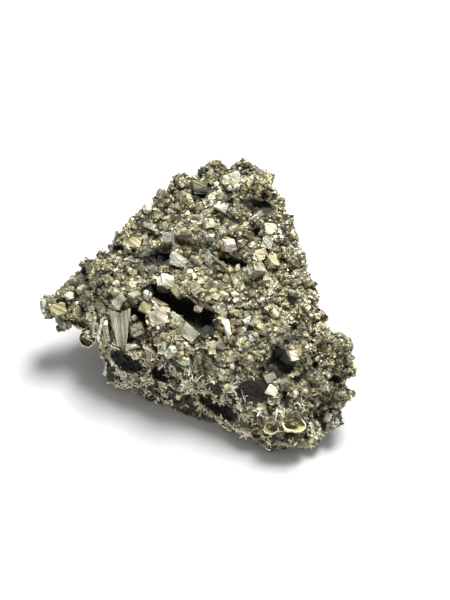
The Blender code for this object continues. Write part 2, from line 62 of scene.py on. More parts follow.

# Dark hollows: middle, half-widths, turns about X, Y and Z in degrees, and how much painted shade
# they get.
HOLLOWS = {
    "cleft_left": ((-7.4, -2.7, 17.8), (3.2, 1.9, 4.4), (38, 0, -26), 1.0),
    "cleft_middle": ((-3.0, -5.9, 17.6), (4.2, 2.3, 5.4), (38, 0, -36), 1.0),
    "cleft_right": ((1.2, -9.1, 18.1), (3.2, 2.5, 5.4), (38, 0, -34), 1.0),
    "ridge_gap": ((-10.4, -5.7, 15.4), (2.2, 1.2, 2.4), (30, 0, -36), 1.0),
    "hole_in_left_edge": ((-14.8, 7.9, 19.0), (1.2, 0.9, 2.4), (20, 0, -20), 1.0),
    "cavity_behind_cleft": ((-7.0, 5.8, 18.6), (2.9, 2.0, 2.8), (30, 0, 12), 1.0),
    "cavity_centre": ((-3.0, 7.9, 20.5), (2.8, 1.0, 2.2), (34, 0, -12), 0.45),
    "gap_right_of_centre": ((6.6, 3.1, 20.4), (2.9, 1.0, 2.4), (34, 0, -18), 1.0),
    "gap_below_knoll": ((11.8, 15.9, 22.4), (3.2, 1.4, 2.4), (46, 0, -12), 1.0),
    "gap_left_of_knoll": ((6.0, 16.7, 22.7), (0.9, 1.2, 1.8), (20, 0, 0), 1.0),
    "gap_top": ((0.4, 18.5, 22.7), (1.8, 1.2, 2.0), (34, 0, 0), 1.0),
    "gap_in_upper_right": ((11.2, 10.1, 21.6), (1.1, 0.8, 1.8), (20, 0, 20), 1.0),
    "dark_hollow_left": ((-13.0, -11.3, 8.4), (3.4, 3.4, 2.3), (0, 4, -28), 1.0),
    "dark_hollow_middle": ((-5.6, -13.7, 7.4), (3.3, 3.2, 1.6), (0, 8, -20), 1.0),
    "dark_hollow_low": ((3.6, -19.4, 4.6), (4.4, 3.4, 1.5), (0, 14, -22), 1.0),
    "dark_hollow_shoulder": ((10.4, -20.6, 11.0), (3.4, 2.8, 2.0), (14, -14, -6), 1.0),
    "hole_shoulder": ((15.3, -16.2, 14.6), (2.6, 2.6, 2.0), (40, 16, 6), 1.0),
    "slit_shoulder": ((16.2, -21.1, 10.6), (0.8, 1.8, 1.7), (20, 0, 0), 1.0),
    "mould_right": ((18.0, -25.0, 5.6), (2.3, 2.6, 1.4), (0, 0, 8), 0.9),
    "mould_left": ((13.4, -25.5, 5.0), (1.9, 2.2, 1.3), (0, 0, -8), 0.9),
    "hole_right": ((17.6, -9.3, 16.6), (1.3, 1.0, 2.2), (20, 0, 0), 1.0),
    "hole_shoulder_small": ((21.6, -16.6, 13.8), (0.8, 1.8, 0.8), (-20, 0, 0), 1.0),
    "hollow_shoulder_edge": ((25.2, -18.0, 11.0), (1.7, 2.0, 1.2), (-20, -10, 20), 0.9),
    "gap_shoulder": ((23.6, -20.0, 7.2), (2.3, 1.9, 0.9), (0, -18, 15), 0.8),
    "gap_spur": ((-21.6, -3.6, 9.6), (1.8, 1.6, 0.9), (0, 20, 0), 0.9),
    "back_left_hollow": ((-9.1, 15.3, 11.0), (3.6, 2.4, 2.6), (0, 0, 40), 0.7),
    "back_low_hollow": ((4.4, 21.5, 7.0), (3.8, 2.4, 2.0), (0, 0, -10), 0.7),
    "back_high_gap": ((1.4, 23.8, 15.0), (2.6, 1.8, 1.0), (0, 20, 0), 0.7),
    "right_low_hollow": ((26.2, -7.7, 6.5), (2.0, 3.4, 1.8), (0, 0, 10), 0.6),
    "right_high_hollow": ((19.7, 5.3, 12.0), (2.0, 3.0, 1.4), (15, 0, 8), 0.6),
    "left_hollow": ((-22.0, 1.3, 6.5), (2.2, 2.6, 1.8), (0, 0, 20), 0.7),
}
# Where a hollow's painted shade fades out, and where its rim begins and ends, in its own
# half-widths.
HOLLOW_FADE = (1.0, 1.3)
RIM_BEGINS = (0.95, 1.05)
RIM_ENDS = (1.25, 1.6)

# Colours of the faces, from pale brass to the tarnishes.
COLOURS = {
    "brass": (0.67, 0.61, 0.375),
    "pale": (0.79, 0.75, 0.56),
    "olive": (0.42, 0.385, 0.21),
    "grey": (0.48, 0.48, 0.355),
    "green": (0.29, 0.30, 0.19),
    "blue": (0.46, 0.49, 0.39),
    "gold": (0.66, 0.52, 0.22),
    "rust": (0.20, 0.11, 0.05),
    "khaki": (0.42, 0.38, 0.19),
    "pink": (0.52, 0.46, 0.35),
    "white": (0.84, 0.82, 0.68),
}
# How much single crystals differ in brightness, and how much lighter the finest ones are painted,
# as painted light on the right flank and the upper left edge.
BRIGHTNESS = (0.55, 1.28)
FINE_PAINTED_LIGHTER = 0.22

# The large crystals: habit, middle, half-widths, turns in degrees, and colour.
CRYSTALS = [
    ("pyritohedron", (-5.8, -1.0, 18.9), (1.55, 1.5, 1.5), (12, 30, 10), "white"),
    ("cube", (-8.8, -0.6, 15.9), (0.9, 0.9, 1.0), (30, -20, 25), "blue"),
    ("cut_cube", (-11.2, -3.0, 17.1), (1.1, 0.9, 0.9), (-25, 15, 40), "grey"),
    ("cube", (-14.0, -3.0, 16.6), (1.0, 1.0, 0.9), (20, 35, 60), "grey"),
    ("cut_cube", (-9.1, -5.2, 17.3), (1.2, 1.1, 1.1), (35, 10, -20), "olive"),
    ("cube", (-7.4, -5.2, 16.7), (2.0, 0.7, 0.8), (10, 15, -35), "grey"),
    ("cube", (-7.0, -7.1, 16.1), (1.5, 1.4, 1.6), (26, -12, 16), "pink"),
    ("cut_cube", (-3.9, -8.3, 17.0), (1.3, 0.9, 1.0), (15, 20, -35), "grey"),
    ("cube", (-1.2, -10.9, 16.4), (1.6, 1.2, 1.1), (35, 25, -28), "grey"),
    ("cut_cube", (-8.9, -3.1, 16.7), (0.9, 0.7, 0.8), (30, -20, -40), "grey"),
    ("cube", (-7.5, -4.2, 16.8), (1.4, 0.7, 0.9), (46, 6, -36), "olive"),
    ("cut_cube", (-5.7, -5.7, 16.7), (0.8, 0.7, 0.8), (30, 25, 10), "grey"),
    ("cube", (-4.4, -7.2, 16.7), (1.3, 0.7, 1.0), (42, -8, -34), "green"),
    ("cube", (-3.0, -9.0, 16.7), (1.1, 0.8, 0.8), (42, 12, -30), "olive"),
    ("cut_cube", (-3.6, -2.5, 18.5), (1.2, 0.8, 0.9), (30, 14, -50), "olive"),
    ("cut_cube", (0.4, -6.9, 18.6), (0.6, 0.5, 0.6), (30, 30, 0), "pink"),
    ("facet", (-13.7, -8.3, 15.0), (0.6, 3.4, 1.85), (100, -25, -106), "grey"),
    ("cube", (-11.4, -8.3, 14.2), (1.1, 0.9, 1.2), (40, 10, 35), "green"),
    ("blade", (-19.4, -4.1, 12.0), (0.28, 0.8, 1.7), (-15, 16, 5), "pale"),
    ("blade", (-18.9, -5.2, 12.0), (0.25, 0.7, 2.2), (-12, 4, -20), "white"),
    ("blade", (-18.3, -5.9, 11.6), (0.3, 0.8, 1.6), (-20, -8, 10), "pale"),
    ("blade", (-17.7, -7.0, 13.6), (0.28, 0.8, 2.3), (-16, 10, -10), "white"),
    ("blade", (-17.0, -8.2, 13.0), (0.25, 0.7, 2.4), (-22, 3, 20), "pink"),
    ("blade", (-16.3, -8.0, 13.4), (0.3, 0.7, 2.0), (-18, -6, 0), "pale"),
    ("blade", (-17.4, -8.7, 11.2), (0.3, 0.8, 1.7), (-14, 14, 30), "brass"),
    ("cube", (-11.7, -10.4, 12.5), (1.0, 0.6, 0.7), (20, -25, 10), "white"),
    ("wedge", (-8.7, -11.8, 11.9), (1.8, 1.0, 1.1), (-20, 30, -10), "pink"),
    ("pyritohedron", (-4.0, -13.9, 15.3), (0.9, 0.9, 0.9), (10, 0, 30), "blue"),
    ("cube", (-4.7, -13.4, 13.9), (1.0, 0.7, 0.7), (15, -20, 20), "white"),
    ("pyritohedron", (-2.0, -14.3, 13.4), (1.1, 1.0, 1.0), (40, 20, 0), "grey"),
    ("kite", (5.7, -11.9, 19.4), (0.7, 2.0, 0.5), (10, 6, 18), "white"),
    ("cut_cube", (4.4, -10.0, 18.4), (0.8, 0.7, 0.8), (20, 30, 15), "brass"),
    ("cube", (6.9, -8.1, 18.2), (1.0, 0.8, 0.7), (46, 15, 35), "olive"),
    ("cube", (9.3, -8.6, 17.8), (0.8, 0.4, 0.4), (40, -15, 35), "white"),
    ("cut_cube", (10.8, -9.5, 17.9), (0.75, 0.7, 0.7), (36, 24, -20), "grey"),
    ("cut_cube", (10.4, -12.9, 18.2), (0.9, 0.8, 0.9), (40, -14, 10), "blue"),
    ("cube", (17.1, -15.6, 15.6), (0.75, 0.8, 1.2), (32, 18, 30), "pale"),
    ("cube", (13.4, -18.0, 13.2), (1.0, 0.7, 0.8), (50, -15, 25), "grey"),
    ("cut_cube", (13.8, -20.2, 11.7), (0.9, 0.8, 0.7), (25, 20, -15), "pale"),
    ("blade", (21.6, -17.4, 12.9), (0.9, 0.5, 0.5), (48, 15, 10), "pale"),
    ("cube", (23.5, -18.9, 11.1), (0.55, 0.6, 0.8), (44, 25, 10), "white"),
    ("pyritohedron", (15.3, -23.2, 7.6), (0.7, 0.6, 0.9), (10, 20, 30), "brass"),
    ("blade", (9.6, -21.4, 7.2), (0.6, 1.0, 2.0), (-10, -50, -20), "pale"),
    ("wedge", (12.2, -22.0, 7.7), (1.2, 0.8, 1.6), (-15, -30, 10), "pale"),
    ("wedge", (8.9, -23.0, 2.6), (1.9, 0.9, 1.0), (-10, -10, -25), "pale"),
    ("blade", (6.2, 21.2, 22.7), (1.9, 1.7, 0.7), (30, -8, 10), "grey"),
    ("cube", (0.2, 20.0, 22.2), (1.2, 1.1, 1.3), (34, 14, 10), "green"),
    ("cut_cube", (-3.0, 21.4, 22.3), (1.1, 1.0, 1.0), (20, 30, 20), "green"),
    ("cut_cube", (-6.5, 17.0, 21.9), (1.2, 1.1, 1.0), (35, -25, 30), "green"),
    ("pyritohedron", (-9.4, 14.3, 22.8), (0.9, 0.9, 0.9), (0, 20, 10), "white"),
    ("cube", (-9.2, 11.1, 21.7), (1.2, 0.5, 0.6), (35, 15, -15), "grey"),
    ("blade", (-12.2, 8.9, 19.2), (1.8, 1.0, 0.6), (22, -10, -15), "olive"),
    ("cube", (-5.3, 8.6, 20.6), (1.0, 0.9, 0.9), (25, -20, -15), "blue"),
    ("cut_cube", (-3.6, 4.2, 18.8), (1.4, 1.0, 0.9), (25, 30, -10), "white"),
    ("cube", (2.4, 4.9, 19.9), (0.8, 0.9, 0.8), (34, -30, 35), "blue"),
    ("cube", (3.4, 2.9, 20.2), (0.8, 0.9, 0.9), (40, 20, -40), "grey"),
    ("pyritohedron", (6.0, 5.6, 22.0), (1.3, 1.2, 1.1), (30, 10, 20), "pink"),
    ("cut_cube", (11.0, 0.8, 21.2), (1.4, 1.1, 1.0), (20, 35, 30), "grey"),
    ("cube", (12.2, 4.3, 20.9), (1.0, 1.0, 0.9), (35, -15, 20), "brass"),
    ("cube", (8.1, 6.9, 21.0), (0.9, 0.8, 0.9), (38, 20, 50), "pale"),
    ("cube", (13.1, 6.7, 21.3), (0.8, 0.9, 1.2), (30, 10, -10), "blue"),
    ("cube", (11.4, 13.0, 22.0), (1.3, 0.5, 0.6), (38, -10, 42), "grey"),
    ("cut_cube", (13.6, 10.9, 20.5), (1.2, 1.1, 1.0), (30, 25, 15), "pale"),
    ("cube", (4.6, 14.9, 22.9), (1.3, 0.9, 0.9), (25, 15, -25), "grey"),
    ("cut_cube", (13.8, 2.7, 20.4), (1.0, 1.0, 0.9), (15, 40, 35), "brass"),
    ("cube", (2.1, 11.2, 22.1), (1.0, 1.0, 0.9), (35, 20, 25), "pale"),
    ("pyritohedron", (-24.0, 0.1, 14.2), (0.9, 0.9, 0.9), (10, 20, 0), "white"),
    ("cut_cube", (-26.3, -2.3, 12.9), (1.3, 1.0, 1.1), (38, 8, 25), "olive"),
]
NAMED_GROOVES = 12
NAMED_GROOVE_DEPTH = 0.09
NAMED_POLISH = 0.34

# Stained places: middle, reach, colour and how strong the stain is.
STAINS = [
    ((0.4, -7.0, 18.8), 2.6, "rust", 0.8),
    ((-1.6, -5.2, 19.0), 1.6, "gold", 0.7),
    ((5.8, -11.4, 17.8), 2.6, "gold", 0.75),
    ((-2.5, 7.0, 20.0), 4.2, "olive", 0.7),
    ((8.8, 15.0, 22.6), 1.6, "rust", 0.6),
    ((10.8, 18.4, 23.0), 3.2, "gold", 0.45),
    ((14.0, -14.6, 15.6), 1.6, "rust", 0.5),
    ((24.0, -19.4, 9.6), 1.8, "rust", 0.5),
    ((-17.4, -7.4, 12.6), 1.6, "rust", 0.45),
    ((-3.0, -14.6, 12.0), 1.4, "rust", 0.5),
    ((5.8, 5.4, 21.6), 2.0, "gold", 0.4),
    ((-16.4, 1.2, 17.0), 3.0, "olive", 0.6),
]
# Where a stain fades, as a share of its reach, and how ragged its edge is.
STAIN_FADE = (0.4, 1.1)
STAIN_RAGGED = 0.18

# Thin-walled round moulds: middle of the rim, half-widths, turns, the colour inside, and the
# painted shade inside.
FRONT_MOULDS = [
    ((17.8, -24.2, 7.1), (2.0, 1.7, 1.3), (-6, 8, 0), "khaki", 0.0),
    ((13.7, -24.6, 6.5), (1.3, 1.2, 1.2), (-2, -8, 0), "khaki", 0.15),
]
SPUR_MOULD = ((-20.5, -6.6, 9.6), (1.5, 1.4, 0.9), (48, -22, 10), "green", 0.85)
MOULDS = [*FRONT_MOULDS, SPUR_MOULD]
CUP_RINGS = 8
CUP_SIDES = 28
CUP_DEPTH = 1.0
CUP_WALL = 0.12
CUP_SINK = 0.1
RIM_WAVE = 0.25
RIM_WAVES = 1.7
MOULD_POLISH = 0.55

# Near the front moulds the matrix loses most of its soot and painted shade and takes their inside
# colour, out to this reach in their half-widths.
MOULD_REACH = (1.0, 1.5)
MOULD_UNSHADED = 0.9

# The matrix's skin is cut until no edge is longer, then moved by (size, slope) of tilted facets.
LONGEST_EDGE = 0.52
CUTTING_PASSES = 4
MATRIX_FACETS = [(1.1, 0.26), (0.55, 0.3)]
CRUMPLE = 0.07
FACET_SHUFFLE = 7.3
HOLLOW_CALM = 0.6
SKIN_SUNK = 0.05
FOOT_HEIGHT = 0.05

# Gaps between clumps of crystals: clump size, half-width of the gap as a share of it, and depth.
CREVICES = [(2.6, 0.26, 0.5), (1.3, 0.3, 0.22)]
CREVICE_WARP = 0.4
WARP_FREQUENCY = 1.7
WARP_SHIFTS = (0.0, 31.7, 67.3)

# Colour of the matrix, and its darkening: soot and painted shade on the lower left face, a little
# soot everywhere, and painted shade in low places and in the gaps.
CELL_SIZE = 0.9
MATRIX_BRIGHTER = 1.05
MATRIX_POLISH = 0.42
LINE_FACET = (1.4, 1.0)
LACE_SOOT_AND_SHADE = 0.95
LEAST_SOOT = 0.08
LOW_SHADE = 0.72
LOW_HEIGHTS = (-0.35, 0.05)
GAP_SHADE = 0.97
SHADED_GAPS = (0.1, 0.26)

# Painted shade in a crystal's grooves and at its foot, and the heights, in half-widths, of the
# foot.
GROOVE_SHADE = 0.6
FOOT_SHADE = 0.82
FOOT_FADE = (-0.55, 0.15)

# A face with this normal mirrors the key lamp into the photograph's view.
GLINT_NORMAL = (0.148, -0.142, 0.979)
GLINT_DRAWS = 3

# The direction across which a crystal's fine lines lie, and how far apart crystals start in it.
LINES_ALONG = (0.2, 0.3, 0.93)
LINES_APART = 37.0

# Zones of the lump. A pair says where, in millimetres, a zone fades in or out.
RIGHT_FLANK = (11, 19)
RIGHT_FLANK_LEAN = 0.25
UPPER_LEFT_EDGE = (9.0, 13.0)
UPPER_LEFT_WAY = (-0.7, 0.45)
BEHIND_SPUR = (2, 6)
EDGE_FINENESS = 0.6
LACE_BRINK = 7.2
LACE_BRINK_SLOPE = 0.42
LACE_BELOW_BRINK = (1.0, 4.0)
LACE_TOP = (10.5, 13.5)
LACE_RIGHT = (8, 13)
LACE_LEFT = (-20.5, -18.0)
SHOULDER_LEFT = (7, 11)
SHOULDER_RIGHT = (22, 26)
SHOULDER_FRONT = (17.5, 20.5)
SHOULDER_TOP = (9.5, 12.0)
SHOULDER_LACE = 0.55

# Size of the patches in which small crystals crowd or are few, and the noise where they meet.
PATCH = 4.5
PATCH_EDGE = (-0.2, 0.2)

# Where grains and crusts lie: how many more in the finest places, how many fewer in the hollows,
# on the lower left face and in the gaps, how clear of named crystals, the least share and what
# crowded patches add, the patches' shift, and the lowest height.
GRAIN_SPREAD = {
    "finest": 1.6, "hollows": 0.97, "lace": 0.92, "gaps": 0.9, "clear": 1.12,
    "least": 0.3, "crowd": 1.2, "shift": 0.0, "lowest": 0.25,
}
CRUST_SPREAD = {
    "finest": -0.85, "hollows": 1, "lace": 0.85, "gaps": 0, "clear": 1.5,
    "least": 0.4, "crowd": 1.2, "shift": 9.0, "lowest": 1.2,
}
BARE_GAPS = (0.02, 0.12)

# Grains: habits with their shares and stretches, colours with their shares, and sizes.
GRAINS = 46000
GRAIN_PIECES = 3
GRAIN_HABITS = {
    "cube": (0.4, (1.0, 1.1)),
    "octahedron": (0.15, (0.9, 1.1)),
    "shard": (0.25, (0.9, 1.2)),
    "splinter": (0.2, (0.9, 1.15)),
}
GRAIN_COLOURS = {
    "brass": 9, "pale": 5, "olive": 6, "grey": 4, "blue": 0.5,
    "pink": 1, "white": 1.5, "rust": 0.4, "gold": 0.3,
}
GRAIN_HALF_WIDTH = 0.21
GRAIN_VARIETY = 0.38
GRAIN_LIMITS = (0.1, 0.62)
GRAIN_FINE_SMALLER = 0.3
GRAIN_SUNK = (-0.95, -0.3)
GRAIN_HOLLOW_SHADE = 0.75
GRAIN_LACE_SOOT_AND_SHADE = 0.35
GRAIN_POLISH = (0.4, 0.12)
GRAIN_POLISH_LIMITS = (0.16, 0.7)
OBLONG = (0.75, 1.3)
POLISH = (0.25, 0.5)

# Crust of middle-sized crystals: habits and colours with their shares, and sizes.
CRUSTS = 1250
CRUST_HABITS = {
    "cube": 0.12, "cut_cube": 0.2, "pyritohedron": 0.22, "wedge": 0.12, "fragment": 0.34,
}
CRUST_COLOURS = {
    "brass": 8, "pale": 5, "olive": 5, "grey": 5, "blue": 1, "white": 0.6, "pink": 1,
}
CRUST_VARIETY = 8
CRUST_GROOVES = 3
CRUST_GROOVE_DEPTH = 0.1
CRUST_HALF_WIDTH = (0.34, 0.74)
CRUST_FINE_SMALLER = 0.5
CRUST_SUNK = 0.55

# Thin bright edges over the dark hollows: the clumps that they stand in, and their sizes.
CLUMP = 1.7
CLUMP_EDGE = (0.02, 0.16)
RIM_FLAKES = 1.2
STRAY_FLAKES = 0.01
FLAKES = 2000
FLAKE_COLOURS = {"pale": 8, "white": 3, "brass": 5, "olive": 1}
FLAKE_BRIGHTNESS = (0.5, 1.6)
FLAKE_BRIGHTEST = 0.95
FLAKE_LOWEST = 0.5
FLAKE_STEPS = 6
FLAKE_LENGTH = (0.6, 2.2)
FLAKE_WIDTH = (0.12, 0.4)
FLAKE_THICKNESS = (0.09, 0.17)
FLAKE_BEND = 2.4
FLAKE_TILT = 0.3
FLAKE_RAISED = 0.12
FLAKE_END_WIDTH = 0.35
STRAIGHT = 1e-3

# Shapes of the crystals, as corners of a convex hull about a cube from -1 to 1.
UNEVEN = 0.1
GROOVES_REACH = 0.9
GROOVE_DEPTHS = (0.6, 1.0)
RIDGE_DEPTHS = (0, 0.2)
FRAGMENT_CORNERS = 11
FRAGMENT_REACH = (0.85, 1.25)
OCTAHEDRON_REACH = 1.35
PYRITOHEDRON_SIZE = 0.75
RIDGE_OUT = 1.42
RIDGE_HALF_LENGTH = 0.71
CORNER_CUT = 0.35
BROKEN_HABITS = {
    "wedge": [(-1, -1, 1), (1, -0.8, 0.8), (0.4, -1, -1), (-1, 1, 1), (1, 1, 0.8), (0.2, 1, -1)],
    "facet": [
        (x, y * (1 if x > 0 else 0.8), z)
        for x in (1, -1)
        for y, z in ((1, 0.94), (1, -1), (-1, -0.36), (-1, 0.46))
    ],
    "kite": [
        (-0.9, 0.85, 0.6), (0.9, 0.65, 0.6), (0.6, -1, 0.6),
        (-0.65, -0.4, 0.6), (0, 0.4, -3), (0.2, -0.6, -3),
    ],
    "splinter": [(-1, -0.8, -0.7), (1, -0.7, -0.8), (0, 1, -0.6), (0.1, -0.1, 1.1)],
    "shard": [(-1, -1, -1), (1, -0.6, -1), (0, 1, -1), (-0.5, -0.3, 1.0), (0.0, 0.1, 1.1)],
}

# The material: noises as scale per metre and detail, and ranges as (from low, high, to low, high).
COARSE_NOISE = (420.0, 3.0)
FINE_NOISE = (2600.0, 2.0)
BLOTCH_NOISE = (160.0, 2.0)
COARSE_SHADES = (0.35, 0.65, 0.7, 1.15)
TARNISH_SHARES = (0.56, 0.7, 0.0, 0.55)
FINE_ROUGHNESS = (0.3, 0.7, -0.03, 0.13)
LINE_SHADES = (0.36, 0.6, 0.72, 1.12)
LINE_NOISE = {"Scale": 3.4, "Detail": 3.0, "Roughness": 0.7}
TARNISH = (0.27, 0.22, 0.12, 1.0)
# Near-black colour of the soot and painted shade.
SOOT_AND_SHADE_COLOUR = (0.034, 0.032, 0.025, 1.0)
SOOT_AND_SHADE_ROUGHER = 0.35
SOOT_AND_SHADE_DULLER = 0.6
BUMP = {"Strength": 1.0, "Distance": 0.0002}
FINE_BUMP = 0.5

# Paper, lamps and surroundings, in metres and watts. Ranges as for the material.
PAPER = {"Base Color": (0.5, 0.5, 0.5, 1), "Roughness": 0.9, "Specular IOR Level": 0.1}
LAMPS = {"key": ((0.17, 0.27, 0.6), 0.3, 10.4), "fill": ((-0.34, -0.55, 0.07), 0.16, 2.8)}
LAMP_AIM = (0, 0, 0.01)
WINDOW_WAY = (0.34, 0.72, 0.60)
WINDOW_LIGHT = (0.15, 0.95, 0.06, 1.18)
WALL_WAY = (-0.52, -0.84, 0.15)
WALL_LIGHT = (0.5, 0.95, 0.0, 0.35)

# The photograph's view, in degrees and millimetres.
ELEVATION = 50
DISTANCE = 260
LUMP_MIDDLE = (0.416, -1.685, 13.0)
AIM_RIGHT = 4.9
AIM_UP = 1.3


def facet_height(place, size, slope):
    """Height of a surface of flat tilted facets of this size."""
    middle = noise.voronoi(place / size)[1][0] * size
    tilt = noise.cell_vector(middle * FACET_SHUFFLE) * 2 - Vector((1, 1, 1))
    return slope * (place - middle).dot(tilt)


def local_to(places, middle, half_widths, turns):
    """The places in a turned shape's own axes, in its half-widths."""
    return (places - np.array(middle)) @ turn_of(turns) / np.array(half_widths)


def crevices(places):
    """How deep in the gaps between clumps of crystals each place is, in millimetres."""
    found = np.zeros(len(places))
    shifts = [Vector((shift, 0, 0)) for shift in WARP_SHIFTS]
    for size, half_gap, depth in CREVICES:
        for number, place in enumerate(places):
            where = Vector(place) / size
            # noise.noise_vector is seeded from the clock, so each direction is read by itself.
            at = where * WARP_FREQUENCY
            where += Vector([noise.noise(at + shift) for shift in shifts]) * CREVICE_WARP
            near, after = noise.voronoi(where)[0][:2]
            found[number] = max(found[number], depth * (1 - min((after - near) / half_gap, 1)))
    return found


def turn_of(turns):
    return np.array(Euler([math.radians(angle) for angle in turns]).to_matrix())


def smooth(edge0, edge1, x):
    """0 below the first edge, 1 above the second, and a soft step between."""
    t = np.clip((x - edge0) / (edge1 - edge0), 0, 1)
    return t * t * (3 - 2 * t)


def hollow_at(places):
    """How deep in a hollow each place is, from 0 to 1, scaled by how much painted shade the hollow
    gets.
    """
    found = np.zeros(len(places))
    for middle, half_widths, turns, soot_and_shade in HOLLOWS.values():
        reach = np.linalg.norm(local_to(places, middle, half_widths, turns), axis=1)
        found = np.maximum(found, soot_and_shade * (1 - smooth(*HOLLOW_FADE, reach)))
    return found


def rim_at(places):
    """1 round the rims of the large dark hollows of the lower left face."""
    found = np.zeros(len(places))
    for name, (middle, half_widths, turns, _) in HOLLOWS.items():
        if name.startswith("dark_hollow"):
            reach = np.linalg.norm(local_to(places, middle, half_widths, turns), axis=1)
            rim = smooth(*RIM_BEGINS, reach) * (1 - smooth(*RIM_ENDS, reach))
            found = np.maximum(found, rim)
    return found


def stained(colours, places, chance):
    """Blends the stains into the colours."""
    for middle, reach, name, strength in STAINS:
        away = np.linalg.norm(places - np.array(middle), axis=1) / reach
        ragged = away + chance.normal(0, STAIN_RAGGED, len(places))
        share = strength * (1 - smooth(*STAIN_FADE, ragged))
        colours += (np.array(COLOURS[name]) - colours) * share[:, None]
    return colours


def chosen_colours(chance, places, shares):
    """A colour for each place, drawn by share and varied a little, painted lighter where the
    crystals are finest as painted light, with the stains.
    """
    names = list(shares)
    weight = np.array([shares[name] for name in names])
    pick = chance.choice(len(names), len(places), p=weight / weight.sum())
    colours = np.array([COLOURS[name] for name in names])[pick]
    colours = colours * chance.uniform(*BRIGHTNESS, (len(places), 1))
    # Painted light: the finest crystals are painted lighter.
    colours = colours * (1 + FINE_PAINTED_LIGHTER * fineness(places)[:, None])
    return stained(colours, places, chance)


def finished(name, mesh, material):
    """The mesh as a piece of the lump."""
    obj = bpy.data.objects.new(name, mesh)
    bpy.context.scene.collection.objects.link(obj)
    mesh.materials.clear()
    mesh.materials.append(material)
    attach(obj, "root")
    return obj


def clipped(points):
    """The points kept inside the CAD model's box."""
    low = np.array(CAD_BOX[0]) / MM
    high = np.array(CAD_BOX[1]) / MM
    return np.clip(points, low, high)


def dress(mesh, tint, soot_and_shade, polish, line):
    """Gives each point what the material reads, and the mesh flat faces."""
    values = {"tint": tint, "soot_and_shade": soot_and_shade, "polish": polish, "line": line}
    for name, numbers in values.items():
        kind, key = ("FLOAT_COLOR", "color") if name == "tint" else ("FLOAT", "value")
        attribute = mesh.attributes.new(name, kind, "POINT")
        attribute.data.foreach_set(key, np.ascontiguousarray(numbers, np.float32).ravel())
    mesh.shade_flat()


class Heap:
    """Crystals gathered into one mesh. Each has its own points, a colour and a polish."""

    def __init__(self):
        self.points, self.loops, self.sizes = [], [], []
        self.colours, self.finish, self.lines = [], [], []
        self.count = 0

    def add(
        self, corners, faces, places, turns, half_widths, colours, soot_and_shade, polish,
        skin=None, grooves=None,
    ):
        """Copies of the unit shape (corners, faces), one for each place.

        With skin, the places on the skin and the outward directions there, each copy gets painted
        shade at its foot. Grooves says how much painted shade each corner of the unit shape gets.
        """
        n, p = len(places), len(corners)
        shaped = corners[None] * half_widths[:, None]
        placed = np.einsum("nij,npj->npi", turns, shaped) + places[:, None]
        flat = np.concatenate([np.array(face) for face in faces])
        self.points.append(placed.reshape(-1, 3))
        self.loops.append((flat[None] + self.count + p * np.arange(n)[:, None]).ravel())
        self.sizes.append(np.tile([len(face) for face in faces], n))
        shades = np.column_stack([colours, np.ones(n)])
        self.colours.append(np.repeat(shades, p, 0))
        corner_soot_and_shade = np.repeat(np.asarray(soot_and_shade, float)[:, None], p, 1)
        if skin is not None:
            height = np.einsum("npi,ni->np", placed - skin[0][:, None], skin[1])
            height = height / half_widths.min(axis=1)[:, None]
            corner_soot_and_shade = np.maximum(corner_soot_and_shade, FOOT_SHADE * (1 - smooth(*FOOT_FADE, height)))
        if grooves is not None:
            corner_soot_and_shade = np.maximum(corner_soot_and_shade, grooves[None])
        self.finish.append(np.column_stack([corner_soot_and_shade.ravel(), np.repeat(polish, p)]))
        along = shaped @ np.array(LINES_ALONG) + (places.sum(axis=1) * LINES_APART)[:, None]
        self.lines.append(along.ravel())
        self.count += n * p

    def piece(self, name, material):
        """Makes the heap into one piece."""
        mesh = bpy.data.meshes.new(name)
        points = clipped(np.concatenate(self.points)) * MM
        loops = np.concatenate(self.loops)
        sizes = np.concatenate(self.sizes)
        mesh.vertices.add(len(points))
        mesh.vertices.foreach_set("co", points.astype(np.float32).ravel())
        mesh.loops.add(len(loops))
        mesh.loops.foreach_set("vertex_index", loops.astype(np.int32))
        mesh.polygons.add(len(sizes))
        starts = np.concatenate([[0], np.cumsum(sizes)[:-1]])
        mesh.polygons.foreach_set("loop_start", starts.astype(np.int32))
        mesh.update(calc_edges=True)
        soot_and_shade, polish = np.concatenate(self.finish).T
        dress(mesh, np.concatenate(self.colours), soot_and_shade, polish, np.concatenate(self.lines))
        mesh.validate()
        return finished(name, mesh, material)


def in_order(mesh):
    """The mesh's vertices and faces in a fixed order, which Blender's convex hull doesn't give."""
    vertices = sorted(mesh.verts, key=lambda v: tuple(round(x, 5) for x in v.co))
    number = {vertex: k for k, vertex in enumerate(vertices)}
    faces = []
    for face in mesh.faces:
        loop = [number[vertex] for vertex in face.verts]
        start = loop.index(min(loop))
        faces.append(loop[start:] + loop[:start])
    return vertices, sorted(faces)


def convex(corners, flat):
    """A convex hull, whose faces are joined where they meet at less than this angle."""
    mesh = bmesh.new()
    for corner in corners:
        mesh.verts.new(corner)
    bmesh.ops.convex_hull(mesh, input=mesh.verts)
    loose = [v for v in mesh.verts if not v.link_faces]
    bmesh.ops.delete(mesh, geom=loose, context="VERTS")
    bmesh.ops.dissolve_limit(mesh, angle_limit=flat, verts=mesh.verts, edges=mesh.edges)
    bmesh.ops.recalc_face_normals(mesh, faces=mesh.faces)
    return mesh


def hull_shape(corners):
    """Corners and outward faces of a convex hull."""
    mesh = convex(corners, 0.02)
    vertices, faces = in_order(mesh)
    points = np.array([v.co[:] for v in vertices])
    mesh.free()
    return points, faces


def cube_corners():
    return [(x, y, z) for x in (-1, 1) for y in (-1, 1) for z in (-1, 1)]


